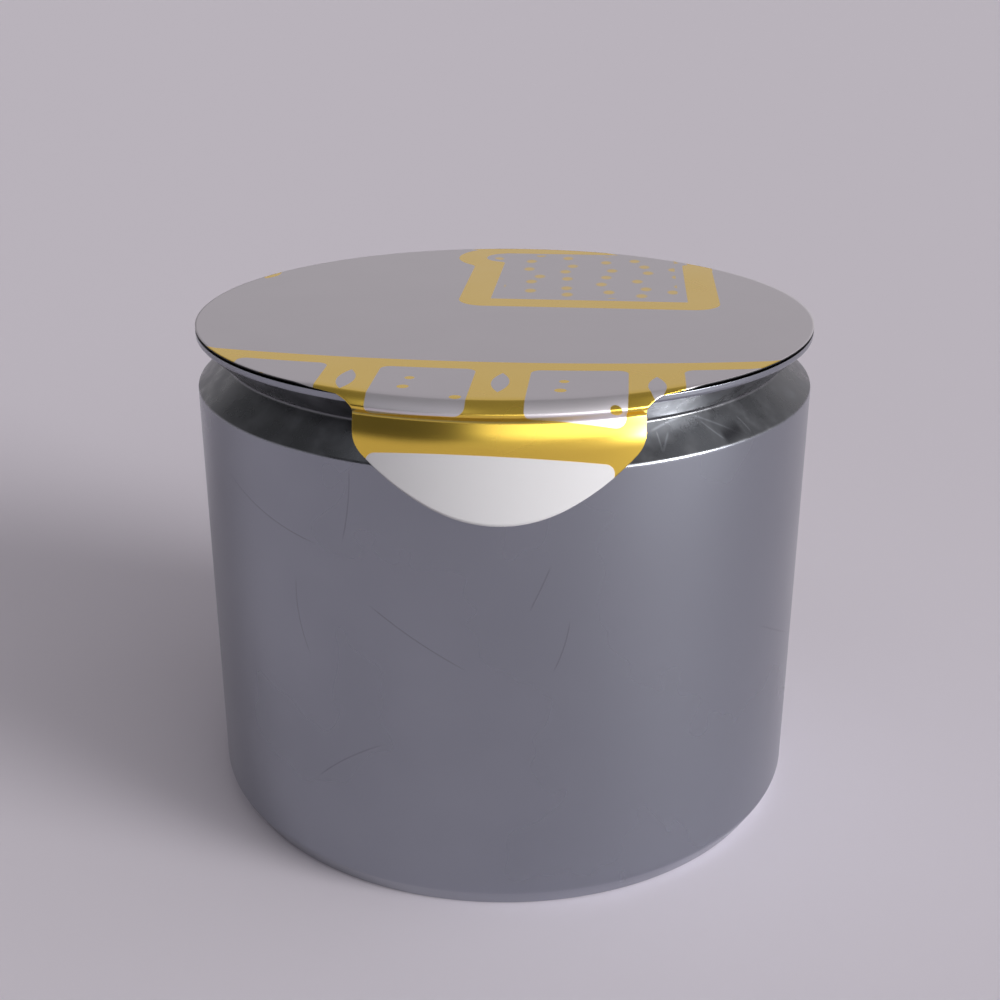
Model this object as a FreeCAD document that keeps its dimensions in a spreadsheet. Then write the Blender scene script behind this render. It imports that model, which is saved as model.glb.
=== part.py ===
import FreeCAD, Part
import math
import os

import Sketcher

# A small round drawn can with a necked-in shoulder and a flat flange, shut by a heat-sealed foil lid
# whose pull tab is folded down over the rim at the front (-Y).
# Millimetres. +Z is up and is the can's axis; the origin is the middle of its base, on the table.

# ---------------------------------------------------------------- driving dimensions

SIZES = [
    # the can
    ("can_height", 48.9, "table to the top of the flange, where the foil is sealed on"),
    ("wall_diameter", 60.26, "outside of the straight wall"),
    ("foot_inset", 1.3, "how far the base's slanted edge comes in from the wall"),
    ("foot_rise", 2.15, "how high that slanted edge is"),
    ("foot_width", 2.6, "flat ring that the can stands on"),
    ("recess_slope", 0.9, "how far the underside's step comes in as it rises"),
    ("recess_depth", 0.8, "how far the underside's panel is raised"),
    ("shoulder_height", 2.6, "from the wall's upper edge to the neck"),
    ("neck_inset", 2.83, "how far the neck, the narrowest place, comes in from the wall"),
    ("flare_height", 2.47, "from the neck out to the flange"),
    ("rim_inset", 0.13, "how far the flange's edge lies inside the wall"),
    ("rim_height", 0.75, "upright edge of the flange, its rounding included"),
    ("rim_rounding", 0.45, "upper edge of the flange"),
    ("edge_rounding", 0.3, "pressed edges of the shoulder, the neck and the foot"),
    # the foil lid
    ("foil_thickness", 0.1, "lid and tab"),
    ("foil_overhang", 0.0, "lid past the flange, 0 where they are flush"),
    # the pull tab's section, from the lid's top down
    ("bend_radius", 0.95, "outside of the fold over the rim"),
    ("bend_tuck", 38.0, "degrees past upright at which the fold ends"),
    ("tuck_length", 0.05, "straight stretch from the fold to the crease under the rim"),
    ("crease_radius", 0.3, "outside of the crease"),
    ("flank_lean", 24.0, "degrees off upright of the stretch below the crease"),
    ("hang_radius", 2.6, "outside of the turn from that stretch to upright"),
    ("hang_clearance", 0.67, "inside of the hanging tab to the can's wall"),
    # the pull tab's outline, seen from the front
    ("tab_width", 23.8, "across the straight sides"),
    ("tab_drop", 10.3, "from the lid's top to the tip"),
    ("tip_radius", 12.36, "round of the tip"),
    ("tip_turn", 27.2, "degrees that the tip's round turns each way"),
    ("cheek_turn", 45.5, "degrees from level at which the flatter round beside the tip ends"),
    ("corner_radius", 2.5, "round from there into the straight side"),
    ("root_reach", 3.2, "how far the tab's root widens each way along the rim"),
    ("root_drop", 1.2, "from the lid's underside to the end of that widening"),
    ("root_radius", 0.7, "tighter end of that widening, by the straight side"),
    ("trim_margin", 1.0, "how far the strip is left long, and how far past it the trim reaches"),
]

doc = FreeCAD.newDocument("round_tin")
sheet = doc.addObject("Spreadsheet::Sheet", "Sizes")
for row, (alias, value, note) in enumerate(SIZES, start=1):
    sheet.set(f"A{row}", alias)
    sheet.set(f"B{row}", str(value))
    sheet.set(f"C{row}", note)
    sheet.setAlias(f"B{row}", alias)
doc.recompute()


def cell(alias):
    """The expression that reads one size."""
    return f"Sizes.{alias}"


def sine(alias):
    return f"sin({cell(alias)} * 1 deg)"


def cosine(alias):
    return f"cos({cell(alias)} * 1 deg)"


def value_of(expression):
    """The number that an expression has now."""
    return float(sheet.evalExpression(expression))


# ---------------------------------------------------------------- radii and heights that follow

WALL_R = f"({cell('wall_diameter')} / 2)"
NECK_R = f"({WALL_R} - {cell('neck_inset')})"
RIM_R = f"({WALL_R} - {cell('rim_inset')})"
FLAT_R = f"({RIM_R} - {cell('rim_rounding')})"
FOOT_R = f"({WALL_R} - {cell('foot_inset')})"
FOOT_IN_R = f"({FOOT_R} - {cell('foot_width')})"
PANEL_R = f"({FOOT_IN_R} - {cell('recess_slope')})"
LID_R = f"({RIM_R} + {cell('foil_overhang')})"
HANG_R = f"({WALL_R} + {cell('hang_clearance')} + {cell('foil_thickness')})"
RIM_TOP = cell("can_height")
RIM_LOW = f"({RIM_TOP} - {cell('rim_height')})"
NECK_Z = f"({RIM_LOW} - {cell('flare_height')})"
SHOULDER_Z = f"({NECK_Z} - {cell('shoulder_height')})"
LID_TOP = f"({RIM_TOP} + {cell('foil_thickness')})"
TAB_TIP_Z = f"({LID_TOP} - {cell('tab_drop')})"


# ---------------------------------------------------------------- sketch helpers

def new_sketch(body, name, role):
    """A sketch on one of the body's own origin planes."""
    sketch = body.newObject("Sketcher::SketchObject", name)
    planes = [feature for feature in body.Origin.OriginFeatures if feature.Role == role]
    sketch.AttachmentSupport = (planes[0], [""])
    sketch.MapMode = "FlatFace"
    return sketch


def bind(sketch, name, constraint, expression):
    """Adds a named constraint and ties it to the sheet."""
    index = sketch.addConstraint(constraint)
    sketch.renameConstraint(index, name)
    sketch.setExpression(f"Constraints.{name}", expression)


def arc_between(start, end, radius, turns_left):
    """The short arc from start to end. Going along it, its centre is on the left or on the right."""
    chord = end - start
    left = FreeCAD.Vector(-chord.y, chord.x, 0).normalize()
    reach = math.sqrt(max(radius**2 - (chord.Length / 2) ** 2, 0.0))
    centre = (start + end) / 2 + left * (reach if turns_left else -reach)
    first, last = (start, end) if turns_left else (end, start)
    circle = Part.Circle(centre, FreeCAD.Vector(0, 0, 1), radius)
    return Part.ArcOfCircle(
        circle,
        math.atan2(first.y - centre.y, first.x - centre.x),
        math.atan2(last.y - centre.y, last.x - centre.x),
    )


def outline(sketch, corners):
    """A closed outline of (across, up, bend) corners. bend says what leads on to the next corner:
    None for a straight line, or (radius, True where the arc turns left)."""
    points = [FreeCAD.Vector(value_of(across), value_of(up), 0) for across, up, _ in corners]
    ends = []
    for i, (_, _, bend) in enumerate(corners):
        here = points[i]
        there = points[(i + 1) % len(points)]
        if bend is None:
            geometry = sketch.addGeometry(Part.LineSegment(here, there), False)
            ends.append((geometry, 1, 2))
        else:
            radius, turns_left = bend
            arc = arc_between(here, there, value_of(radius), turns_left)
            geometry = sketch.addGeometry(arc, False)
            ends.append((geometry, 1, 2) if turns_left else (geometry, 2, 1))
            constraint = Sketcher.Constraint("Radius", geometry, value_of(radius))
            bind(sketch, f"radius{i}", constraint, radius)
    for i, (across, up, _) in enumerate(corners):
        geometry, start, _ = ends[i]
        before, _, before_end = ends[i - 1]
        sketch.addConstraint(
            Sketcher.Constraint("Coincident", before, before_end, geometry, start)
        )
        for kind, name, expression in (("DistanceX", "across", across), ("DistanceY", "up", up)):
            constraint = Sketcher.Constraint(kind, -1, 1, geometry, start, value_of(expression))
            bind(sketch, f"{name}{i}", constraint, expression)


def turn(body, name, sketch):
    """Turns a sketch about the can's axis."""
    turned = body.newObject("PartDesign::Revolution", name)
    turned.Profile = sketch
    turned.ReferenceAxis = (sketch, ["V_Axis"])
    return turned


# ---------------------------------------------------------------- the can

def circle_edge(shape, radius, height):
    """The name of the circular edge with that radius at that height."""
    tolerance = 1e-4
    for i, edge in enumerate(shape.Edges, start=1):
        if isinstance(edge.Curve, Part.Circle):
            off_radius = abs(edge.Curve.Radius - value_of(radius))
            off_height = abs(edge.Curve.Center.z - value_of(height))
            if max(off_radius, off_height) < tolerance:
                return f"Edge{i}"
    raise ValueError(f"no circular edge of radius {radius} at height {height}")


def make_can():
    """One closed solid, turned about the axis: foot, slanted base edge, wall, shoulder, neck, flange."""
    body = doc.addObject("PartDesign::Body", "CanBody")
    body.Label = "can_body"
    sketch = new_sketch(body, "CanProfile", "XZ_Plane")
    outline(sketch, [
        ("0", cell("recess_depth"), None),
        (PANEL_R, cell("recess_depth"), None),
        (FOOT_IN_R, "0", None),
        (FOOT_R, "0", None),
        (WALL_R, cell("foot_rise"), None),
        (WALL_R, SHOULDER_Z, None),
        (NECK_R, NECK_Z, None),
        (RIM_R, RIM_LOW, None),
        (RIM_R, f"{RIM_TOP} - {cell('rim_rounding')}", (cell("rim_rounding"), True)),
        (FLAT_R, RIM_TOP, None),
        ("0", RIM_TOP, None),
    ])
    turned = turn(body, "CanTurned", sketch)
    turned.Angle = 360.0
    doc.recompute()

    pressed = body.newObject("PartDesign::Fillet", "PressedEdges")
    pressed.Base = (turned, [
        circle_edge(turned.Shape, FOOT_R, "0"),
        circle_edge(turned.Shape, WALL_R, cell("foot_rise")),
        circle_edge(turned.Shape, WALL_R, SHOULDER_Z),
        circle_edge(turned.Shape, NECK_R, NECK_Z),
    ])
    pressed.setExpression("Radius", cell("edge_rounding"))
    return body


# ---------------------------------------------------------------- the foil lid and its pull tab

def tab_section():
    """The tab's section, a strip as thick as the foil, drawn to the left of the axis: over the rim,
    in to the crease, out along the flank, then straight down. Both faces share their arcs' centres."""
    bend_z = f"({LID_TOP} - {cell('bend_radius')})"
    bend_to_crease = f"({cell('bend_radius')} + {cell('crease_radius')})"
    crease_r = (
        f"({FLAT_R} + {bend_to_crease} * {cosine('bend_tuck')}"
        f" - {cell('tuck_length')} * {sine('bend_tuck')})"
    )
    crease_z = (
        f"({bend_z} - {bend_to_crease} * {sine('bend_tuck')}"
        f" - {cell('tuck_length')} * {cosine('bend_tuck')})"
    )
    hang_r = f"({HANG_R} - {cell('hang_radius')})"
    crease_to_hang = f"({cell('hang_radius')} + {cell('crease_radius')})"
    flank_length = (
        f"(({hang_r} + {crease_to_hang} * {cosine('flank_lean')} - {crease_r})"
        f" / {sine('flank_lean')})"
    )
    hang_z = (
        f"({crease_z} - {flank_length} * {cosine('flank_lean')}"
        f" - {crease_to_hang} * {sine('flank_lean')})"
    )
    end_z = f"({TAB_TIP_Z} - {cell('trim_margin')})"

    def face(depth):
        """The corners of one face, from the lid down, and the arc that leads on from each."""
        bend = f"({cell('bend_radius')} - {depth})"
        crease = f"({cell('crease_radius')} + {depth})"
        hang = f"({cell('hang_radius')} - {depth})"
        bend_cos, bend_sin = cosine("bend_tuck"), sine("bend_tuck")
        lean_cos, lean_sin = cosine("flank_lean"), sine("flank_lean")
        return [
            (FLAT_R, f"{bend_z} + {bend}", (bend, True)),
            (f"({FLAT_R} + {bend} * {bend_cos})", f"{bend_z} - {bend} * {bend_sin}", None),
            (f"({crease_r} - {crease} * {bend_cos})", f"{crease_z} + {crease} * {bend_sin}", (crease, False)),
            (f"({crease_r} - {crease} * {lean_cos})", f"{crease_z} - {crease} * {lean_sin}", None),
            (f"({hang_r} + {hang} * {lean_cos})", f"{hang_z} + {hang} * {lean_sin}", (hang, True)),
            (f"({hang_r} + {hang})", hang_z, None),
            (f"({hang_r} + {hang})", end_z, None),
        ]

    outside = face("0")
    inside = face(cell("foil_thickness"))
    corners = [(f"-{radius}", up, bend) for radius, up, bend in outside]
    for i in range(len(inside) - 1, -1, -1):
        radius, up, _ = inside[i]
        bend = inside[i - 1][2] if i > 0 else None
        corners.append((f"-{radius}", up, (bend[0], not bend[1]) if bend else None))
    lap_r = f"({FLAT_R} - {cell('bend_radius')})"
    corners.append((f"-{lap_r}", RIM_TOP, None))
    corners.append((f"-{lap_r}", LID_TOP, None))
    return corners


def tab_waste():
    """What is trimmed off the turned strip, seen from the front: all round the tab, under the lid."""
    half = f"({cell('tab_width')} / 2)"
    tip_x = f"({cell('tip_radius')} * {sine('tip_turn')})"
    tip_z = f"({TAB_TIP_Z} + {cell('tip_radius')} * (1 - {cosine('tip_turn')}))"
    cheek_x = f"({half} - {cell('corner_radius')} * (1 - {sine('cheek_turn')}))"
    cheek_radius = f"(({cheek_x} - {tip_x}) / ({sine('cheek_turn')} - {sine('tip_turn')}))"
    cheek_z = f"({tip_z} + {cheek_radius} * ({cosine('tip_turn')} - {cosine('cheek_turn')}))"
    corner_z = f"({cheek_z} + {cell('corner_radius')} * {cosine('cheek_turn')})"

    # the root is a quarter of an oval, drawn as a tight arc by the side and a wide one under the lid
    reach, drop, tight = cell("root_reach"), cell("root_drop"), cell("root_radius")
    wide = f"((({reach} - {tight})^2 + {drop}^2 - {tight}^2) / (2 * ({drop} - {tight})))"
    root_x = f"({half} + {reach} - {wide} * ({reach} - {tight}) / ({wide} - {tight}))"
    root_z = f"({RIM_TOP} - {wide} + {wide} * ({wide} - {drop}) / ({wide} - {tight}))"

    right = [
        (tip_x, tip_z, (cheek_radius, True)),
        (cheek_x, cheek_z, (cell("corner_radius"), True)),
        (half, corner_z, None),
        (half, f"({RIM_TOP} - {drop})", (tight, False)),
        (root_x, root_z, (wide, False)),
        (f"({half} + {reach})", RIM_TOP, None),
    ]
    left = []
    for i in range(len(right) - 1, -1, -1):
        across, up, _ = right[i]
        bend = right[i - 1][2] if i > 0 else (cell("tip_radius"), True)
        left.append((f"-{across}", up, bend))
    side = f"({half} + {reach} + {cell('trim_margin')})"
    bottom = f"({TAB_TIP_Z} - 2 * {cell('trim_margin')})"
    frame = [
        (side, RIM_TOP, None),
        (side, bottom, None),
        (f"-{side}", bottom, None),
        (f"-{side}", RIM_TOP, None),
    ]
    return left + right + frame


def make_lid():
    """One thin solid: the round foil, with the tab turned about the same axis and trimmed to its outline."""
    body = doc.addObject("PartDesign::Body", "FoilLid")
    body.Label = "foil_lid"
    disc_sketch = new_sketch(body, "LidProfile", "XZ_Plane")
    outline(disc_sketch, [
        ("0", RIM_TOP, None),
        (LID_R, RIM_TOP, None),
        (LID_R, LID_TOP, None),
        ("0", LID_TOP, None),
    ])
    disc = turn(body, "LidDisc", disc_sketch)
    disc.Angle = 360.0
    doc.recompute()

    strip_sketch = new_sketch(body, "TabSection", "YZ_Plane")
    outline(strip_sketch, tab_section())
    strip = turn(body, "TabStrip", strip_sketch)
    strip.Midplane = True
    root_end = f"({cell('tab_width')} / 2 + {cell('root_reach')})"
    strip.setExpression("Angle", f"2 * asin({root_end} / {FLAT_R})")
    doc.recompute()
    untrimmed = strip.Shape.Volume

    waste_sketch = new_sketch(body, "TabWaste", "XZ_Plane")
    outline(waste_sketch, tab_waste())
    trim = body.newObject("PartDesign::Pocket", "TabTrim")
    trim.Profile = waste_sketch
    trim.Reversed = True
    trim.setExpression("Length", f"{HANG_R} + {cell('trim_margin')}")
    doc.recompute()
    if trim.Shape.Volume > 0.98 * untrimmed:
        raise ValueError("the tab was not trimmed")
    return body


# ---------------------------------------------------------------- checks and files

def check(bodies):
    for item in doc.Objects:
        faults = [word for word in item.State if word in ("Invalid", "Error")]
        if faults:
            raise ValueError(f"{item.Name} is {faults}")
    for body in bodies:
        shape = body.Shape
        if shape.isNull() or not shape.isValid() or len(shape.Solids) != 1:
            raise ValueError(f"{body.Label} is not one valid solid")


bodies = [make_can(), make_lid()]
doc.recompute()
check(bodies)
os.makedirs("parts", exist_ok=True)
for body in bodies:
    body.Shape.exportStep(f"parts/{body.Label}.step")
    print(f"{body.Label}: {body.Shape.Volume / 1000:.3f} cm3")
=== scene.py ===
import math

import bmesh
import bpy
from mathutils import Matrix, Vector


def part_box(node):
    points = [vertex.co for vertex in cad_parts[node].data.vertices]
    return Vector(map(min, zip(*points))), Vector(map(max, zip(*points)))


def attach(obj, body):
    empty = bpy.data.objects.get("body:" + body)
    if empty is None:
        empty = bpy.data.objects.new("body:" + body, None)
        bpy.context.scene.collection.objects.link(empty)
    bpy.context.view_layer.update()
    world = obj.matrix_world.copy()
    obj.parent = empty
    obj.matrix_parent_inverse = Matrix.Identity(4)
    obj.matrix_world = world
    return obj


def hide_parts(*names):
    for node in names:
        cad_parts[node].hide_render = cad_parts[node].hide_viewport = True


# A short round can with a necked-in shoulder, shut by a foil lid whose pull tab is folded down at the front.
# Metres. The can stands on z = 0, its axis is Z, and the tab hangs at the front, towards -Y.
mm = 0.001

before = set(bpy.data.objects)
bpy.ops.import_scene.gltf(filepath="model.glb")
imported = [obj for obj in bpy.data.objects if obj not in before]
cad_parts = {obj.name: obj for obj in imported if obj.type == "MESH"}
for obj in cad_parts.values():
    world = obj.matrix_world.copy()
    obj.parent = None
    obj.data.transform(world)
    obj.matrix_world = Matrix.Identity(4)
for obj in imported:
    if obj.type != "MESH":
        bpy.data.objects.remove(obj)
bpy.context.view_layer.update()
canLow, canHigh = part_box("can_body")
lidLow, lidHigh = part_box("foil_lid")
print("frame loaded")


# --- camera and stage ---

cameraView = {
    "location": (0.0020, -0.1346, 0.0823),
    "tiltFromDown": 68.31,      # degrees
    "turn": 1.035,              # degrees
    "lens": 50.0,               # millimetres
    "sensor": 36.0,
    "clip": (0.01, 50.0),
}

stageLook = {
    "floorSize": 14.0,
    "floorColour": (0.785, 0.732, 0.80, 1.0),
    "floorRoughness": 0.9,
    "floorShine": 0.1,
    "horizonColour": (0.53, 0.511, 0.53, 1.0),
    "topColour": (0.22, 0.215, 0.22, 1.0),
    "skyFade": (0.45, 0.8),     # from the one to the other, as the sine of the height
    "boxFade": (0.8, 1.1),      # soft edge of a softbox, as a share of its half size
    # softboxes round the table, far away: degrees round from the front and above the floor,
    # half of the width and height in degrees, and the brightness
    "softboxes": [
        {"turn": -110.0, "height": 38.0, "half": (45.0, 30.0), "colour": (0.15, 0.15, 0.155, 1.0)},
        {"turn": -50.0, "height": 60.0, "half": (35.0, 14.0), "colour": (0.60, 0.61, 0.65, 1.0)},
        {"turn": -40.0, "height": 22.0, "half": (34.0, 22.0), "colour": (0.05, 0.05, 0.055, 1.0)},
        {"turn": 100.0, "height": 45.0, "half": (20.0, 14.0), "colour": (0.65, 0.66, 0.69, 1.0)},
        {"turn": 120.0, "height": 24.0, "half": (10.0, 12.0), "colour": (0.30, 0.30, 0.31, 1.0)},
        {"turn": 39.0, "height": 25.0, "half": (48.0, 11.0), "colour": (2.25, 2.24, 2.22, 1.0)},
        {"turn": 63.0, "height": 5.0, "half": (15.0, 16.0), "colour": (31.0, 30.9, 30.8, 1.0)},
    ],
}


def addCamera(view):
    data = bpy.data.cameras.new("camera")
    data.lens = view["lens"]
    data.sensor_width = view["sensor"]
    data.clip_start, data.clip_end = view["clip"]
    camera = bpy.data.objects.new("camera", data)
    bpy.context.scene.collection.objects.link(camera)
    camera.location = view["location"]
    camera.rotation_euler = (math.radians(view["tiltFromDown"]), 0.0, math.radians(view["turn"]))
    bpy.context.scene.camera = camera


def addFloor(look):
    bm = bmesh.new()
    bmesh.ops.create_grid(bm, x_segments=2, y_segments=2, size=look["floorSize"] / 2)
    mesh = bpy.data.meshes.new("floor")
    bm.to_mesh(mesh)
    bm.free()
    floor = bpy.data.objects.new("floor", mesh)
    bpy.context.scene.collection.objects.link(floor)
    material, _, shader = newPaint("floorPaint")
    shader.inputs["Base Color"].default_value = look["floorColour"]
    shader.inputs["Roughness"].default_value = look["floorRoughness"]
    shader.inputs["Specular IOR Level"].default_value = look["floorShine"]
    mesh.materials.append(material)


def addWorld(look):
    world = bpy.data.worlds.new("studio")
    bpy.context.scene.world = world
    world.use_nodes = True
    tree = world.node_tree
    direction = tree.nodes.new("ShaderNodeTexCoord").outputs["Generated"]
    x, y, z = splitVector(tree, direction)
    around = calc(tree, "ARCTAN2", x, calc(tree, "MULTIPLY", y, -1.0))
    above = calc(tree, "ARCSINE", z)

    sky = mixColours(tree, ease(tree, z, *look["skyFade"]), look["horizonColour"], look["topColour"])
    for box in look["softboxes"]:
        side = calc(tree, "SUBTRACT", around, math.radians(box["turn"]))
        side = calc(tree, "DIVIDE", side, math.radians(box["half"][0]))
        rise = calc(tree, "SUBTRACT", above, math.radians(box["height"]))
        rise = calc(tree, "DIVIDE", rise, math.radians(box["half"][1]))
        away = calcVector(tree, "LENGTH", joinVector(tree, side, rise))
        sky = mixColours(tree, ease(tree, away, *look["boxFade"], 1.0, 0.0), sky, box["colour"])
    tree.links.new(sky, tree.nodes["Background"].inputs["Color"])


# --- node helpers ---

def newPaint(name):
    material = bpy.data.materials.new(name)
    material.use_nodes = True
    tree = material.node_tree
    return material, tree, tree.nodes["Principled BSDF"]


def feed(tree, socket, value):
    if isinstance(value, bpy.types.NodeSocket):
        tree.links.new(value, socket)
    else:
        socket.default_value = value


def calc(tree, operation, *values):
    node = tree.nodes.new("ShaderNodeMath")
    node.operation = operation
    for socket, value in zip(node.inputs, values):
        feed(tree, socket, value)
    return node.outputs[0]


def calcVector(tree, operation, *values):
    node = tree.nodes.new("ShaderNodeVectorMath")
    node.operation = operation
    for socket, value in zip(node.inputs, values):
        feed(tree, socket, value)
    return node.outputs["Value" if operation == "LENGTH" else "Vector"]


def splitVector(tree, vector):
    node = tree.nodes.new("ShaderNodeSeparateXYZ")
    feed(tree, node.inputs[0], vector)
    return node.outputs


def joinVector(tree, x, y):
    node = tree.nodes.new("ShaderNodeCombineXYZ")
    for socket, value in zip(node.inputs, (x, y)):
        feed(tree, socket, value)
    return node.outputs[0]


def placePattern(tree, vector, turn=0.0, stretch=(1, 1, 1)):
    node = tree.nodes.new("ShaderNodeMapping")
    feed(tree, node.inputs["Vector"], vector)
    node.inputs["Rotation"].default_value = (0.0, 0.0, math.radians(turn))
    node.inputs["Scale"].default_value = stretch
    return node.outputs[0]


def addNoise(tree, vector, scale, detail=2.0, roughness=0.5):
    node = tree.nodes.new("ShaderNodeTexNoise")
    feed(tree, node.inputs["Vector"], vector)
    node.inputs["Scale"].default_value = scale
    node.inputs["Detail"].default_value = detail
    node.inputs["Roughness"].default_value = roughness
    return node.outputs["Fac"]


def ease(tree, value, fromLow, fromHigh, toLow=0.0, toHigh=1.0):
    node = tree.nodes.new("ShaderNodeMapRange")
    node.interpolation_type = "SMOOTHSTEP"
    for socket, number in zip(node.inputs, (value, fromLow, fromHigh, toLow, toHigh)):
        feed(tree, socket, number)
    return node.outputs["Result"]


def mixColours(tree, factor, first, second):
    node = tree.nodes.new("ShaderNodeMix")
    node.data_type = "RGBA"
    sockets = [socket for socket in node.inputs if socket.enabled]
    for socket, value in zip(sockets, (factor, first, second)):
        feed(tree, socket, value)
    return [socket for socket in node.outputs if socket.enabled][0]


def mixValues(tree, factor, first, second):
    node = tree.nodes.new("ShaderNodeMix")
    for socket, value in zip((node.inputs[0], node.inputs[2], node.inputs[3]), (factor, first, second)):
        feed(tree, socket, value)
    return node.outputs[0]


def addBump(tree, height, distance, strength, under=None):
    node = tree.nodes.new("ShaderNodeBump")
    node.inputs["Strength"].default_value = strength
    node.inputs["Distance"].default_value = distance
    feed(tree, node.inputs["Height"], height)
    if under is not None:
        feed(tree, node.inputs["Normal"], under)
    return node.outputs["Normal"]


def drawMarks(tree, place, marks, width, radius):
    # thin bowed lines; place is in millimetres, round and up the wall
    drawn = 0.0
    for (startTurn, startHeight), (endTurn, endHeight), bow in marks:
        start = (math.radians(startTurn) * radius, startHeight)
        end = (math.radians(endTurn) * radius, endHeight)
        lying = tree.nodes.new("ShaderNodeMapping")
        lying.vector_type = "TEXTURE"
        feed(tree, lying.inputs["Vector"], place)
        lying.inputs["Location"].default_value = (*start, 0.0)
        lying.inputs["Rotation"].default_value = (0.0, 0.0, math.atan2(end[1] - start[1], end[0] - start[0]))
        lying.inputs["Scale"].default_value = (math.dist(start, end), 1.0, 1.0)
        along, aside, _ = splitVector(tree, lying.outputs[0])
        arch = calc(tree, "MULTIPLY", along, calc(tree, "SUBTRACT", 1.0, along))
        arch = calc(tree, "MULTIPLY", arch, 4.0 * bow)       # 4.0, because it is a quarter in the middle
        line = ease(tree, calc(tree, "ABSOLUTE", calc(tree, "SUBTRACT", aside, arch)), 0.0, width, 1.0, 0.0)
        fromMiddle = calc(tree, "ABSOLUTE", calc(tree, "SUBTRACT", along, 0.5))
        ends = ease(tree, fromMiddle, 0.3, 0.5, 1.0, 0.0)    # a scratch fades out towards its ends
        drawn = calc(tree, "MAXIMUM", drawn, calc(tree, "MULTIPLY", line, ends))
    return drawn


bpy.context.scene.view_settings.view_transform = "Standard"
addCamera(cameraView)
addFloor(stageLook)
addWorld(stageLook)
print("camera and stage ready")


# --- the can ---

canSizes = {                     # millimetres
    "footInset": 1.3,            # the slanted edge under the wall
    "footRise": 2.15,
    "footWidth": 2.6,            # flat ring that the can stands on
    "recessSlope": 0.9,
    "recessDepth": 0.8,
    "shoulderHeight": 2.6,
    "neckInset": 2.83,
    "flareHeight": 2.47,
    "rimInset": 0.13,
    "rimHeight": 0.75,
    "rimRounding": 0.04,
    "rimGap": 0.24,              # thin gap between the rim's edge and the foil, darkened by painted shade
    "rimGapDepth": 0.8,
    "pressedEdge": 0.3,          # softness of the pressed corners
    "shoulderEdge": 0.17,
    "rimLowEdge": 0.15,
    "holdEdge": 0.35,            # rings beside the soft corners keep the straight walls straight
    "rimHold": 0.18,
    "rimHoldTop": 0.06,
}

canSteps = {
    "round": 256,                # around the axis
    "corner": 5,                 # faces across a soft corner
    "rim": 4,
    "under": 3,                  # and where it hardly shows
}

canLook = {
    "metal": (0.335, 0.352, 0.395, 1.0),
    "metalDull": (0.30, 0.315, 0.357, 1.0),
    "cloudScale": 0.05,          # patterns in a millimetre
    "wallRoughness": (0.23, 0.30),
    "drawnStretch": (2.2, 2.2, 0.04),         # fine lines up the wall from drawing it
    "drawnBump": (0.00001, 0.35),             # metres deep, and strength
    "scratch": (0.19, 0.19, 0.21, 1.0),
    "scratchStrength": 0.5,
    "scratchBump": (0.00003, 0.5),
    "shadedGroove": (0.148, 0.152, 0.162, 1.0),     # painted shade: the metal between shoulder and rim, made darker than the wall
    "grimeScale": 0.35,
    "grimeRoughness": 0.6,
    "grooveRoughness": (0.23, 0.44),
    "grooveScratch": (0.36, 0.37, 0.40, 1.0),
    "smear": (0.45, 0.8, 0.0, 0.25),          # from and to in the grime, and how strong there
    "rubStrength": 0.45,
    "stain": (0.04, 0.04, 0.045, 1.0),
    "stainStrength": 0.85,
    "gapShade": (0.012, 0.012, 0.014, 1.0),       # painted shade: near-black paint in the gap under the foil's edge
    "grooveLow": (42.9, 43.15),               # millimetres above the table, from and to
    "grooveHigh": (48.0, 48.15),
    "gapShadeLow": (48.63, 48.66),
}

# scratches on the can, each from one end to the other (degrees round from the front, millimetres up)
# and how far it bows between them, in millimetres; they come again on the can's back
canMarks = {
    "wallWidth": 0.10,
    "wall": [
        ((-56.1, 38.5), (-29.9, 34.7), -0.56),
        ((-24.3, 42.7), (-26.4, 35.3), 0.27),
        ((-22.9, 30.6), (-4.3, 24.7), -0.16),
        ((-36.3, 31.6), (-33.6, 23.3), -0.69),
        ((8.4, 34.9), (4.8, 30.5), 0.05),
        ((11.6, 29.8), (8.7, 24.6), 0.25),
        ((52.6, 23.7), (70.7, 18.8), -0.10),
        ((-19.1, 16.8), (-34.2, 10.9), -0.44),
    ],
    "neckWidth": 0.13,
    "neck": [
        ((27.6, 45.0), (27.1, 43.5), 0.02),
        ((29.9, 44.8), (27.1, 43.5), -0.03),
        ((25.9, 44.9), (35.0, 45.6), 0.10),
        ((35.6, 45.6), (44.9, 43.3), 0.12),
        ((45.7, 44.7), (46.7, 43.3), 0.08),
        ((37.1, 45.1), (40.3, 43.4), -0.05),
    ],
    "stainWidth": 0.95,
    "stain": [((39.5, 43.6), (45.5, 43.9), 0.0)],
}


def ringEdges(bm, radius, height, near=1e-6):
    found = []
    for edge in bm.edges:
        aside = [abs(math.hypot(v.co.x, v.co.y) - radius) for v in edge.verts]
        above = [abs(v.co.z - height) for v in edge.verts]
        if max(aside + above) < near:
            found.append(edge)
    return found


def softenRing(bm, radius, height, width, segments):
    bmesh.ops.bevel(
        bm, geom=ringEdges(bm, radius, height), offset=width, offset_type="OFFSET", affect="EDGES",
        segments=segments, profile=0.5, material=-1, clamp_overlap=True,
    )


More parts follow.
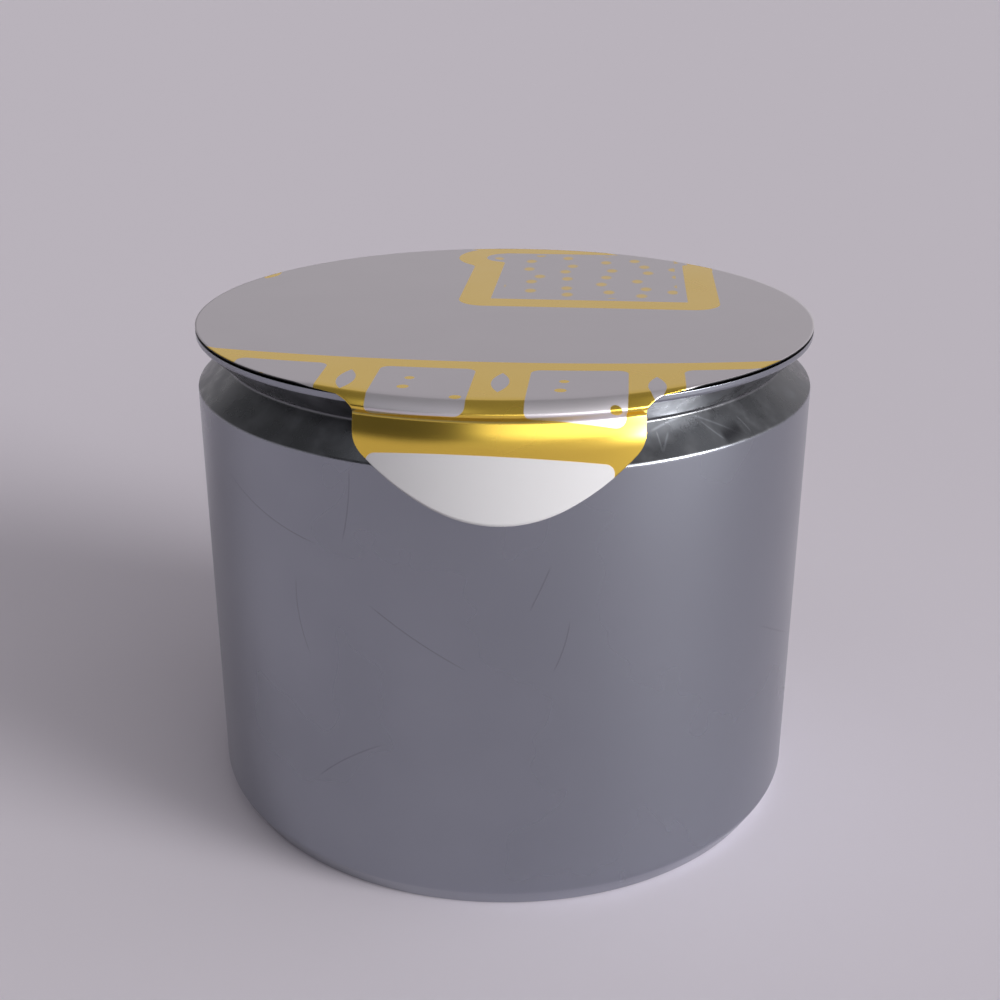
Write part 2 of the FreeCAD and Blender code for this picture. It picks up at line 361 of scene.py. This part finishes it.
def makeCan(sizes, steps):
    s = {key: value * mm for key, value in sizes.items()}
    wall = canHigh.x
    top = canHigh.z
    foot = wall - s["footInset"]
    footIn = foot - s["footWidth"]
    panel = footIn - s["recessSlope"]
    rim = wall - s["rimInset"]
    neck = wall - s["neckInset"]
    rimLow = top - s["rimHeight"]
    neckHeight = rimLow - s["flareHeight"]
    shoulder = neckHeight - s["shoulderHeight"]
    rimTop = top - s["rimGap"]
    rimGapIn = rim - s["rimGapDepth"]
    profile = [                  # radius and height, from the underside's middle to the top's
        (0.0, s["recessDepth"]),
        (panel / 2, s["recessDepth"]),
        (panel, s["recessDepth"]),
        (footIn, 0.0),
        (foot, 0.0),
        (wall, s["footRise"]),
        (wall, s["footRise"] + s["holdEdge"]),
        (wall, shoulder / 2),
        (wall, shoulder - s["holdEdge"]),
        (wall, shoulder),
        (neck, neckHeight),
        (rim, rimLow),
        (rim, rimLow + s["rimHold"]),
        (rim, rimTop - s["rimHoldTop"]),
        (rim, rimTop),
        (rimGapIn, rimTop),
        (rimGapIn, top),
        (0.0, top),
    ]
    bm = bmesh.new()
    verts = [bm.verts.new((0.0, -radius, height)) for radius, height in profile]
    edges = [bm.edges.new(pair) for pair in zip(verts, verts[1:])]
    bmesh.ops.spin(
        bm, geom=verts + edges, axis=(0, 0, 1), cent=(0, 0, 0), dvec=(0, 0, 0),
        angle=math.tau, steps=steps["round"], use_merge=True, use_duplicate=False,
    )
    bmesh.ops.remove_doubles(bm, verts=bm.verts, dist=1e-7)
    for radius, height, width, segments in (
        (rim, rimTop, s["rimRounding"], steps["rim"]),
        (rim, rimLow, s["rimLowEdge"], steps["under"]),
        (wall, shoulder, s["shoulderEdge"], steps["corner"]),
        (neck, neckHeight, s["pressedEdge"], steps["corner"]),
        (wall, s["footRise"], s["pressedEdge"], steps["corner"]),
        (foot, 0.0, s["pressedEdge"], steps["corner"]),
        (footIn, 0.0, s["pressedEdge"], steps["under"]),
        (panel, s["recessDepth"], s["pressedEdge"], steps["under"]),
    ):
        softenRing(bm, radius, height, width, segments)
    bmesh.ops.recalc_face_normals(bm, faces=bm.faces)
    return finishMesh(bm, "can")


def finishMesh(bm, name, sharpAngle=35.0):
    for face in bm.faces:
        face.smooth = True
    mesh = bpy.data.meshes.new(name)
    bm.to_mesh(mesh)
    bm.free()
    mesh.set_sharp_from_angle(angle=math.radians(sharpAngle))
    piece = bpy.data.objects.new(name, mesh)
    bpy.context.scene.collection.objects.link(piece)
    return piece


def paintCan(look, marks):
    material, tree, shader = newPaint("drawnAluminium")
    place = tree.nodes.new("ShaderNodeTexCoord").outputs["Object"]
    inMm = placePattern(tree, place, stretch=(1000, 1000, 1000))
    across, back, height = splitVector(tree, inMm)
    radius = canHigh.x / mm
    around = calc(tree, "ARCTAN2", across, calc(tree, "MULTIPLY", back, -1.0))
    around = calc(tree, "WRAP", around, math.pi / 2, -math.pi / 2)
    unrolled = joinVector(tree, calc(tree, "MULTIPLY", around, radius), height)
    # painted shade: a mask for the neck groove, where the metal is painted darker as the shade of the recess
    shadedGroove = calc(
        tree, "MULTIPLY", ease(tree, height, *look["grooveLow"]),
        ease(tree, height, *look["grooveHigh"], 1.0, 0.0),
    )
    # painted shade: everything of the can above this height is painted near-black, as the shadow in the gap
    # under the foil
    gapShade = ease(tree, height, *look["gapShadeLow"])
    cloudy = addNoise(tree, inMm, look["cloudScale"], detail=3.0)
    grime = addNoise(tree, inMm, look["grimeScale"], detail=3.0, roughness=look["grimeRoughness"])
    drawn = addNoise(tree, placePattern(tree, inMm, stretch=look["drawnStretch"]), 1.0, detail=3.0)
    scratch = drawMarks(tree, unrolled, marks["wall"], marks["wallWidth"], radius)
    rubs = drawMarks(tree, unrolled, marks["neck"], marks["neckWidth"], radius)
    stain = drawMarks(tree, unrolled, marks["stain"], marks["stainWidth"], radius)

    wall = mixColours(tree, ease(tree, cloudy, 0.3, 0.7), look["metal"], look["metalDull"])
    wall = mixColours(tree, calc(tree, "MULTIPLY", scratch, look["scratchStrength"]), wall, look["scratch"])
    # the painted shade of the groove, with lighter smears, pale scratches and a stain over it
    neck = mixColours(tree, ease(tree, grime, *look["smear"]), look["shadedGroove"], look["grooveScratch"])
    neck = mixColours(tree, calc(tree, "MULTIPLY", rubs, look["rubStrength"]), neck, look["grooveScratch"])
    neck = mixColours(tree, calc(tree, "MULTIPLY", stain, look["stainStrength"]), neck, look["stain"])
    metal = mixColours(tree, shadedGroove, wall, neck)
    feed(tree, shader.inputs["Base Color"], mixColours(tree, gapShade, metal, look["gapShade"]))
    shader.inputs["Metallic"].default_value = 1.0

    wallRough = ease(tree, cloudy, 0.2, 0.8, *look["wallRoughness"])
    neckRough = ease(tree, grime, 0.3, 0.75, *look["grooveRoughness"])
    feed(tree, shader.inputs["Roughness"], mixValues(tree, shadedGroove, wallRough, neckRough))
    grain = addBump(tree, drawn, *look["drawnBump"])
    feed(tree, shader.inputs["Normal"], addBump(tree, scratch, *look["scratchBump"], under=grain))
    return material


can = makeCan(canSizes, canSteps)
can.data.materials.append(paintCan(canLook, canMarks))
print("can ready")


# --- the foil lid and its pull tab ---

lidSizes = {                     # millimetres and degrees
    "thickness": 0.1,
    "foldStart": 0.59,           # in from the lid's edge
    "foldBends": [(0.6, 25.0), (2.564, 27.0), (0.3, 78.0)],     # radius and turn: the last is a nip
    "tuck": 0.406,
    "creaseRadius": 0.3,         # under the rim
    "flankLean": 22.0,
    "flank": 0.767,
    "hangRadius": 4.5,
    "tabWidth": 23.8,
    "tipRadius": 12.36,
    "tipTurn": 27.2,
    "cheekTurn": 45.5,
    "cornerRadius": 2.5,
    "rootReach": 3.1,
    "rootDrop": 1.2,
    "rootEase": 5.0,             # degrees beyond the root over which the fold dies out
    "discRings": [0.0, 4.0, 9.0, 14.0, 19.0, 24.0, 27.0, 28.6],
    "edgeRings": [0.33, 0.67, 1.0],           # shares of the way from the fold's start to the edge
    "steps": 384,                # around the axis
    "rootSteps": 32,             # of those, from the tab's middle to its root
    "rowStep": 0.25,             # between rows of points on the fold's straight stretches
    "rowTurn": 6.0,              # degrees between them on the round ones
    "tipRows": 26,
    "halvings": 40,              # in the search for the run at a depth
}


def foldStretches(s):
    lean = s["flankLean"]
    crease = sum(turn for _, turn in s["foldBends"]) - 90.0 + lean
    return [(radius * math.radians(turn), radius, turn) for radius, turn in s["foldBends"]] + [
        (s["tuck"], None, 0.0),
        (s["creaseRadius"] * math.radians(crease), s["creaseRadius"], -crease),
        (s["flank"], None, 0.0),
        (s["hangRadius"] * math.radians(lean), s["hangRadius"], lean),
        (s["tabDrop"], None, 0.0),
    ]


def alongFold(s, run):
    # out and down from the fold's start, in millimetres, after going that far along the foil
    out = down = heading = 0.0
    for length, radius, turn in foldStretches(s):
        part = min(run, length)
        if radius is None:
            out += part * math.cos(heading)
            down += part * math.sin(heading)
        else:
            side = math.copysign(1.0, turn)
            ahead = heading + side * part / radius
            out += side * radius * (math.sin(ahead) - math.sin(heading))
            down += side * radius * (math.cos(heading) - math.cos(ahead))
            heading = ahead
        run -= part
        if run <= 0.0:
            break
    return out, down


def tabEnd(s, across):
    # how far below the lid's top the tab's outline lies, that far across from its middle
    half = s["tabWidth"] / 2
    sinTip, cosTip = math.sin(math.radians(s["tipTurn"])), math.cos(math.radians(s["tipTurn"]))
    sinCheek, cosCheek = math.sin(math.radians(s["cheekTurn"])), math.cos(math.radians(s["cheekTurn"]))
    tipX = s["tipRadius"] * sinTip
    cheekX = half - s["cornerRadius"] * (1 - sinCheek)
    cheekRadius = (cheekX - tipX) / (sinCheek - sinTip)
    tipZ = s["tabDrop"] - s["tipRadius"] * (1 - cosTip)
    cheekZ = tipZ - cheekRadius * (cosTip - cosCheek)
    x = min(abs(across), half)
    if x <= tipX:
        return s["tabDrop"] - s["tipRadius"] + math.sqrt(s["tipRadius"]**2 - x**2)
    if x <= cheekX:
        offset = x - tipX + cheekRadius * sinTip
        return tipZ - cheekRadius * cosTip + math.sqrt(cheekRadius**2 - offset**2)
    offset = x - half + s["cornerRadius"]
    return cheekZ - s["cornerRadius"] * cosCheek + math.sqrt(max(s["cornerRadius"]**2 - offset**2, 0.0))


def makeLid(sizes):
    s = dict(sizes)
    s["tabDrop"] = (lidHigh.z - lidLow.z) / mm
    edge = lidHigh.x / mm
    top = lidHigh.z / mm
    start = edge - s["foldStart"]
    half = s["tabWidth"] / 2
    bm = bmesh.new()
    flat = bm.verts.layers.float_vector.new("foilFlat")

    def put(vert, run, angle, bent=1.0):
        # run: along the foil from the fold's start; angle: round from the front
        out, down = alongFold(s, run) if run > 0.0 else (run, 0.0)
        radius = start + out * bent + run * (1.0 - bent)
        vert.co = Vector((radius * math.sin(angle), -radius * math.cos(angle), top - down * bent)) * mm

    # the disc, with a few rings in its outer edge where the fold starts
    radii = s["discRings"] + [start] + [start + s["foldStart"] * share for share in s["edgeRings"]]
    verts = [bm.verts.new((0.0, -radius, top)) for radius in radii]
    edges = [bm.edges.new(pair) for pair in zip(verts, verts[1:])]
    bmesh.ops.spin(
        bm, geom=verts + edges, axis=(0, 0, 1), cent=(0, 0, 0), dvec=(0, 0, 0),
        angle=math.tau, steps=s["steps"], use_merge=True, use_duplicate=False,
    )
    bmesh.ops.remove_doubles(bm, verts=bm.verts, dist=1e-4)
    step = math.tau / s["steps"]
    rootAngle = s["rootSteps"] * step
    front = []
    for vert in bm.verts:
        radius = math.hypot(vert.co.x, vert.co.y)
        angle = math.atan2(vert.co.x, -vert.co.y)
        beyond = (abs(angle) - rootAngle) / math.radians(s["rootEase"])
        beyond = min(max(beyond, 0.0), 1.0)
        bent = 1.0 - beyond * beyond * (3.0 - 2.0 * beyond)
        run = radius - start
        if radius > edge - 1e-3 and abs(angle) < rootAngle + step / 2:
            front.append(vert)
        put(vert, run, angle, bent if run > 0.0 else 1.0)
        flatY = -radius * math.cos(angle) if run <= 0.0 else -start * math.cos(angle) - run
        vert[flat] = (radius * math.sin(angle), flatY, 0.0)

    # the tab: the front of the edge is extruded row by row along the fold
    shares = {v: math.atan2(v.co.x, -v.co.y) / rootAngle for v in front}
    frontSet = set(front)
    edges = [e for e in bm.edges if e.verts[0] in frontSet and e.verts[1] in frontSet]
    corner = tabEnd(s, half)
    runs = foldRows(s, s["foldStart"], corner)
    cornerRun = runs[-1]
    cornerDrop = alongFold(s, cornerRun)[1]
    rows = [(run, 0.0) for run in runs]
    rows += [(cornerRun, (row + 1) / s["tipRows"]) for row in range(s["tipRows"])]
    for run, part in rows:
        grown = bmesh.ops.extrude_edge_only(bm, edges=edges)["geom"]
        newVerts = [g for g in grown if isinstance(g, bmesh.types.BMVert)]
        newEdges = [g for g in grown if isinstance(g, bmesh.types.BMEdge)]
        edges = [edge for edge in newEdges if all(v in newVerts for v in edge.verts)]
        oldShares = sorted(shares.values())
        ordered = sorted(newVerts, key=lambda v: math.atan2(v.co.x, -v.co.y))
        shares = dict(zip(ordered, oldShares))
        down = alongFold(s, run)[1]
        depth = max(down - s["thickness"], 0.0)
        widen = max(1.0 - depth / s["rootDrop"], 0.0)
        width = half + s["rootReach"] * (1.0 - math.sqrt(max(1.0 - widen * widen, 0.0)))
        for vert, share in shares.items():
            spread = math.sin(share * math.pi / 2) * (1.0 - widen) + share * widen
            across = width * spread
            here = run
            if part > 0.0:
                endRun = runAtDepth(s, max(tabEnd(s, across), cornerDrop))
                here = cornerRun + part * (endRun - cornerRun)
            out, down = alongFold(s, here)
            radius = start + out
            angle = math.asin(max(-1.0, min(1.0, across / radius)))
            vert.co = Vector((across, -radius * math.cos(angle), top - down)) * mm
            vert[flat] = (across, -start * math.cos(angle) - here, here)
    bmesh.ops.remove_doubles(bm, verts=bm.verts, dist=1e-8)
    bmesh.ops.recalc_face_normals(bm, faces=bm.faces)
    if sum(f.normal.z * f.calc_area() for f in bm.faces) < 0.0:
        bmesh.ops.reverse_faces(bm, faces=bm.faces)
    return finishMesh(bm, "lid", sharpAngle=180.0)


def foldRows(s, first, lowest):
    # where the rows of points lie along the fold, from the lid's edge down to the tab's corners
    rows, begin = [], 0.0
    for length, radius, turn in foldStretches(s):
        count = math.ceil(length / s["rowStep"] if radius is None else abs(turn) / s["rowTurn"])
        rows += [begin + length * (part + 1) / count for part in range(count)]
        begin += length
    return [row for row in rows if row > first + s["rowStep"] / 10 and alongFold(s, row)[1] < lowest]


def runAtDepth(s, depth):
    low, high = 0.0, sum(length for length, _, _ in foldStretches(s))
    for _ in range(s["halvings"]):
        middle = (low + high) / 2
        if alongFold(s, middle)[1] < depth:
            low = middle
        else:
            high = middle
    return (low + high) / 2


def giveThickness(piece, thickness):
    wall = piece.modifiers.new("thickness", "SOLIDIFY")
    wall.thickness = thickness
    wall.offset = -1.0
    wall.use_even_offset = True
    wall.use_rim = True
    wall.material_offset = 1
    wall.material_offset_rim = 2


lidPrint = {                     # millimetres on the flat foil
    "turn": 4.0,                 # degrees that the print is off the tab's middle, clockwise
    "soft": 0.05,                # half of the soft edge of a printed shape
    "bandFar": -18.66,           # far edge of the gold field, in the middle
    "bandCurve": 250.0,
    "paneFar": -20.9,
    "paneNear": -31.25,
    "paneNearCurve": 140.0,
    "paneMiddle": 1.75,          # half way between the two panes on the tab
    "panePitch": 12.9,
    "paneHalf": 4.1,
    "paneCorner": 0.9,
    "dots": [(3.2, -28.9, 0.5), (-1.4, -26.4, 0.5), (-1.2, -23.9, 0.42)],      # across, back and radius
    "slitHalf": 0.75,
    "slitLength": 2.7,
    "slitMiddle": -24.6,
    "whiteFar": -34.52,
    "whiteCurve": 130.0,
    "whiteCurveMiddle": 1.15,
    "whiteMiddle": 1.65,
    "whiteHalf": 10.15,
    "whiteCorner": 0.8,
    "sliceMiddle": 8.2,
    "sliceNear": 1.5,
    "sliceHalf": 13.2,
    "sliceCorner": 2.8,
    "crownMiddle": 24.8,
    "crownHalf": 15.5,
    "crownRound": 5.5,
    "crownBlend": 1.0,
    "sliceLine": 3.2,
    "speckColumn": 3.9,
    "speckRow": 3.5,
    "speckHalf": (0.55, 0.85),
    "speckWander": 0.4,          # share of a column or a row
    "speckFade": (0.7, 1.3),
    "speckInset": 0.9,
    "speckStrength": 0.85,
    "edgeSpot": (-28.65, 14.0, 2.8),          # across, back and radius
    "creaseFrom": (1.76, 1.96),  # along the fold: where painted shade darkens the foil's crease under the rim
    "creaseTo": (2.4, 2.6),
    "creaseEnd": (2.0, 6.5),     # across: where that painted shade dies out
    "creaseStrength": 0.7,
}

lidLook = {
    "silver": (0.715, 0.68, 0.713, 1.0),
    "gold": (0.93, 0.64, 0.105, 1.0),
    "white": (0.52, 0.516, 0.523, 1.0),
    # painted shade: the colour of the dark line along the crease under the rim
    "creaseShade": (0.20, 0.21, 0.10, 1.0),
    "silverRoughness": (0.47, 0.53),
    "goldRoughness": (0.24, 0.28),
    "whiteRoughness": 0.45,
    "faintScale": 0.12,          # patterns in a millimetre
    "rolledStretch": (0.25, 3.5, 1.0),
    "rolledDepth": 0.08,         # of the depth of the print
    "printBump": (0.000004, 0.3),             # metres deep, and strength
}

backLook = {
    "metal": (0.62, 0.60, 0.63, 1.0),
    "roughness": (0.3, 0.42),
    "rolledStretch": (400, 9000, 400),        # patterns in a metre
    "rolledBump": (0.00001, 0.3),
}

# painted shade: the foil's cut edge is painted near-black, so that it reads as part of the shadow line under
# the lid
shadedEdgeLook = {
    "metal": (0.06, 0.06, 0.065, 1.0),
    "metalDark": (0.036, 0.036, 0.039, 1.0),
    "roughness": (0.5, 0.65),
    "tornStretch": (2500, 2500, 2500),
}


def inside(tree, away, soft):
    # 1 inside a shape and 0 outside it
    return ease(tree, away, -soft, soft, 1.0, 0.0)


def both(tree, first, second):
    return calc(tree, "MULTIPLY", first, second)


def either(tree, first, second):
    return calc(tree, "MAXIMUM", first, second)


def without(tree, first, second):
    return calc(tree, "MULTIPLY", first, calc(tree, "SUBTRACT", 1.0, second))


def fromPoint(tree, vector, x, y):
    return calcVector(tree, "LENGTH", calcVector(tree, "SUBTRACT", vector, (x, y, 0.0)))


def roundedEnd(tree, aside, up, half, corner):
    # how far a point is outside a strip with rounded corners at its upper end
    insetX = calc(tree, "SUBTRACT", calc(tree, "ABSOLUTE", aside), half - corner)
    insetY = calc(tree, "ADD", up, corner)
    beyond = joinVector(tree, calc(tree, "MAXIMUM", insetX, 0.0), calc(tree, "MAXIMUM", insetY, 0.0))
    deeper = calc(tree, "MINIMUM", calc(tree, "MAXIMUM", insetX, insetY), 0.0)
    away = calc(tree, "ADD", calcVector(tree, "LENGTH", beyond), deeper)
    return calc(tree, "SUBTRACT", away, corner)


def roundedBox(tree, point, middle, half, corner):
    # how far a point is outside a box with rounded corners, less than 0 inside it
    inset = calcVector(tree, "ABSOLUTE", calcVector(tree, "SUBTRACT", point, (*middle, 0.0)))
    inset = calcVector(tree, "SUBTRACT", inset, (half[0] - corner, half[1] - corner, 0.0))
    outside = calcVector(tree, "LENGTH", calcVector(tree, "MAXIMUM", inset, (0.0, 0.0, 0.0)))
    parts = splitVector(tree, inset)
    inside = calc(tree, "MINIMUM", calc(tree, "MAXIMUM", parts["X"], parts["Y"]), 0.0)
    return calc(tree, "SUBTRACT", calc(tree, "ADD", outside, inside), corner)


def archLine(tree, x, middle, height, curve):
    # the height of a gentle arch at x
    offset = calc(tree, "SUBTRACT", x, middle)
    return calc(tree, "ADD", calc(tree, "DIVIDE", calc(tree, "MULTIPLY", offset, offset), curve), height)


def printPanes(tree, x, y, layout):
    # gold field over the front of the lid and the tab, less silver panes in a row and the slits between them
    soft = layout["soft"]
    bandTop = archLine(tree, x, 0.0, layout["bandFar"], layout["bandCurve"])
    band = inside(tree, calc(tree, "SUBTRACT", y, bandTop), soft)

    pitch = layout["panePitch"]
    shifted = calc(tree, "SUBTRACT", x, layout["paneMiddle"])
    paneX = calc(tree, "SUBTRACT", calc(tree, "FLOORED_MODULO", shifted, pitch), pitch / 2)
    paneTop = archLine(tree, x, 0.0, layout["paneFar"], layout["bandCurve"])
    paneEnd = archLine(tree, x, layout["paneMiddle"], layout["paneNear"], layout["paneNearCurve"])
    middle = calc(tree, "MULTIPLY", calc(tree, "ADD", paneTop, paneEnd), 0.5)
    tall = calc(tree, "MULTIPLY", calc(tree, "SUBTRACT", paneTop, paneEnd), 0.5)
    up = calc(tree, "SUBTRACT", calc(tree, "ABSOLUTE", calc(tree, "SUBTRACT", y, middle)), tall)
    pane = inside(tree, roundedEnd(tree, paneX, up, layout["paneHalf"], layout["paneCorner"]), soft)
    for dotX, dotY, size in layout["dots"]:
        away = fromPoint(tree, joinVector(tree, paneX, y), dotX, dotY)
        pane = without(tree, pane, inside(tree, calc(tree, "SUBTRACT", away, size), soft))

    slitX = calc(tree, "FLOORED_MODULO", calc(tree, "ADD", shifted, pitch / 2), pitch)
    slitX = calc(tree, "ABSOLUTE", calc(tree, "SUBTRACT", slitX, pitch / 2))
    slitY = calc(tree, "DIVIDE", calc(tree, "SUBTRACT", y, layout["slitMiddle"]), layout["slitLength"])
    slitWide = calc(tree, "SUBTRACT", 1.0, calc(tree, "MULTIPLY", slitY, slitY))
    slitWide = calc(tree, "MULTIPLY", slitWide, layout["slitHalf"])
    slit = inside(tree, calc(tree, "SUBTRACT", slitX, slitWide), soft)
    return without(tree, without(tree, band, pane), slit)


def printSlice(tree, point, x, y, layout):
    # a slice of bread: its outline, and specks inside it
    soft = layout["soft"]
    crownTop = layout["crownMiddle"] + layout["crownRound"]
    sliceMiddle = (layout["sliceNear"] + crownTop) / 2
    slicePart = roundedBox(
        tree, point, (layout["sliceMiddle"], sliceMiddle),
        (layout["sliceHalf"], sliceMiddle - layout["sliceNear"]), layout["sliceCorner"],
    )
    crownPart = roundedBox(
        tree, point, (layout["sliceMiddle"], layout["crownMiddle"]),
        (layout["crownHalf"], layout["crownRound"]), layout["crownRound"],
    )
    away = calc(tree, "SMOOTH_MIN", slicePart, crownPart, layout["crownBlend"])
    inner = calc(tree, "ADD", away, layout["sliceLine"])
    outline = without(tree, inside(tree, away, soft), inside(tree, inner, soft))

    # one speck in each cell of a staggered grid, a little off its middle
    column = calc(tree, "DIVIDE", x, layout["speckColumn"])
    columnIndex = calc(tree, "FLOOR", column)
    stagger = calc(tree, "MULTIPLY", columnIndex, 0.5)
    row = calc(tree, "ADD", calc(tree, "DIVIDE", y, layout["speckRow"]), stagger)
    jitter = tree.nodes.new("ShaderNodeTexWhiteNoise")
    jitter.noise_dimensions = "2D"
    feed(tree, jitter.inputs["Vector"], joinVector(tree, columnIndex, calc(tree, "FLOOR", row)))
    wander = calcVector(tree, "SUBTRACT", jitter.outputs["Color"], (0.5, 0.5, 0.5))
    wander = calcVector(tree, "MULTIPLY", wander, (layout["speckWander"], layout["speckWander"], 0.0))
    cell = joinVector(tree, calc(tree, "FRACT", column), calc(tree, "FRACT", row))
    offset = calcVector(tree, "SUBTRACT", calcVector(tree, "SUBTRACT", cell, (0.5, 0.5, 0.0)), wander)
    halfX, halfY = layout["speckHalf"]
    perHalf = (layout["speckColumn"] / halfX, layout["speckRow"] / halfY, 0.0)
    size = calcVector(tree, "LENGTH", calcVector(tree, "MULTIPLY", offset, perHalf))
    speck = ease(tree, size, *layout["speckFade"], layout["speckStrength"], 0.0)
    field = inside(tree, calc(tree, "ADD", inner, layout["speckInset"]), soft)
    return either(tree, outline, both(tree, speck, field))


def printWhite(tree, x, y, layout):
    top = archLine(tree, x, layout["whiteCurveMiddle"], layout["whiteFar"], layout["whiteCurve"])
    aside = calc(tree, "SUBTRACT", x, layout["whiteMiddle"])
    up = calc(tree, "SUBTRACT", y, top)
    away = roundedEnd(tree, aside, up, layout["whiteHalf"], layout["whiteCorner"])
    return inside(tree, away, layout["soft"])


# painted shade along the crease under the rim, fading out across the tab
def shadeCrease(tree, across, run, layout):
    creaseShade = both(
        tree, ease(tree, run, *layout["creaseFrom"]),
        ease(tree, run, *layout["creaseTo"], 1.0, 0.0),
    )
    return both(tree, creaseShade, ease(tree, across, *layout["creaseEnd"], layout["creaseStrength"], 0.0))


def paintLid(look, layout):
    material, tree, shader = newPaint("printedFoil")
    flat = tree.nodes.new("ShaderNodeAttribute")
    flat.attribute_name = "foilFlat"
    across, back, run = splitVector(tree, flat.outputs["Vector"])
    point = placePattern(tree, joinVector(tree, across, back), turn=layout["turn"])
    x, y, _ = splitVector(tree, point)

    gold = either(tree, printPanes(tree, x, y, layout), printSlice(tree, point, x, y, layout))
    # a gold patch that the lid's left edge cuts off
    spotX, spotY, spotSize = layout["edgeSpot"]
    spotAway = calc(tree, "SUBTRACT", fromPoint(tree, point, spotX, spotY), spotSize)
    gold = either(tree, gold, inside(tree, spotAway, layout["soft"]))
    white = printWhite(tree, x, y, layout)
    creaseShade = shadeCrease(tree, across, run, layout)

    colour = mixColours(tree, gold, look["silver"], look["gold"])
    colour = mixColours(tree, white, colour, look["white"])
    colour = mixColours(tree, creaseShade, colour, look["creaseShade"])
    feed(tree, shader.inputs["Base Color"], colour)
    feed(tree, shader.inputs["Metallic"], calc(tree, "SUBTRACT", 1.0, white))

    faint = addNoise(tree, point, look["faintScale"])
    silverRough = ease(tree, faint, 0.25, 0.75, *look["silverRoughness"])
    goldRough = ease(tree, faint, 0.25, 0.75, *look["goldRoughness"])
    foilRough = mixValues(tree, gold, silverRough, goldRough)
    feed(tree, shader.inputs["Roughness"], mixValues(tree, white, foilRough, look["whiteRoughness"]))
    rolled = addNoise(tree, placePattern(tree, point, stretch=look["rolledStretch"]), 1.0)
    rolled = calc(tree, "MULTIPLY", rolled, look["rolledDepth"])
    height = calc(tree, "ADD", rolled, calc(tree, "ADD", gold, white))
    feed(tree, shader.inputs["Normal"], addBump(tree, height, *look["printBump"]))
    return material


def paintBack(look):
    material, tree, shader = newPaint("bareFoil")
    place = tree.nodes.new("ShaderNodeTexCoord").outputs["Object"]
    rolled = addNoise(tree, placePattern(tree, place, stretch=look["rolledStretch"]), 1.0)
    shader.inputs["Base Color"].default_value = look["metal"]
    shader.inputs["Metallic"].default_value = 1.0
    feed(tree, shader.inputs["Roughness"], ease(tree, rolled, 0.2, 0.8, *look["roughness"]))
    feed(tree, shader.inputs["Normal"], addBump(tree, rolled, *look["rolledBump"]))
    return material


# painted shade: near-black metal for the foil's cut edge
def paintShadedEdge(look):
    material, tree, shader = newPaint("shadedCutFoil")
    place = tree.nodes.new("ShaderNodeTexCoord").outputs["Object"]
    torn = addNoise(tree, placePattern(tree, place, stretch=look["tornStretch"]), 1.0)
    feed(tree, shader.inputs["Base Color"], mixColours(tree, torn, look["metalDark"], look["metal"]))
    shader.inputs["Metallic"].default_value = 1.0
    feed(tree, shader.inputs["Roughness"], ease(tree, torn, 0.2, 0.8, *look["roughness"]))
    return material


lid = makeLid(lidSizes)
lid.data.materials.append(paintLid(lidLook, lidPrint))
lid.data.materials.append(paintBack(backLook))
lid.data.materials.append(paintShadedEdge(shadedEdgeLook))
giveThickness(lid, lidSizes["thickness"] * mm)
print("lid ready")


# --- what each piece is ---

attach(can, "root")
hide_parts("can_body")
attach(lid, "root")
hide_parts("foil_lid")

bpy.context.view_layer.update()
print("pieces named")
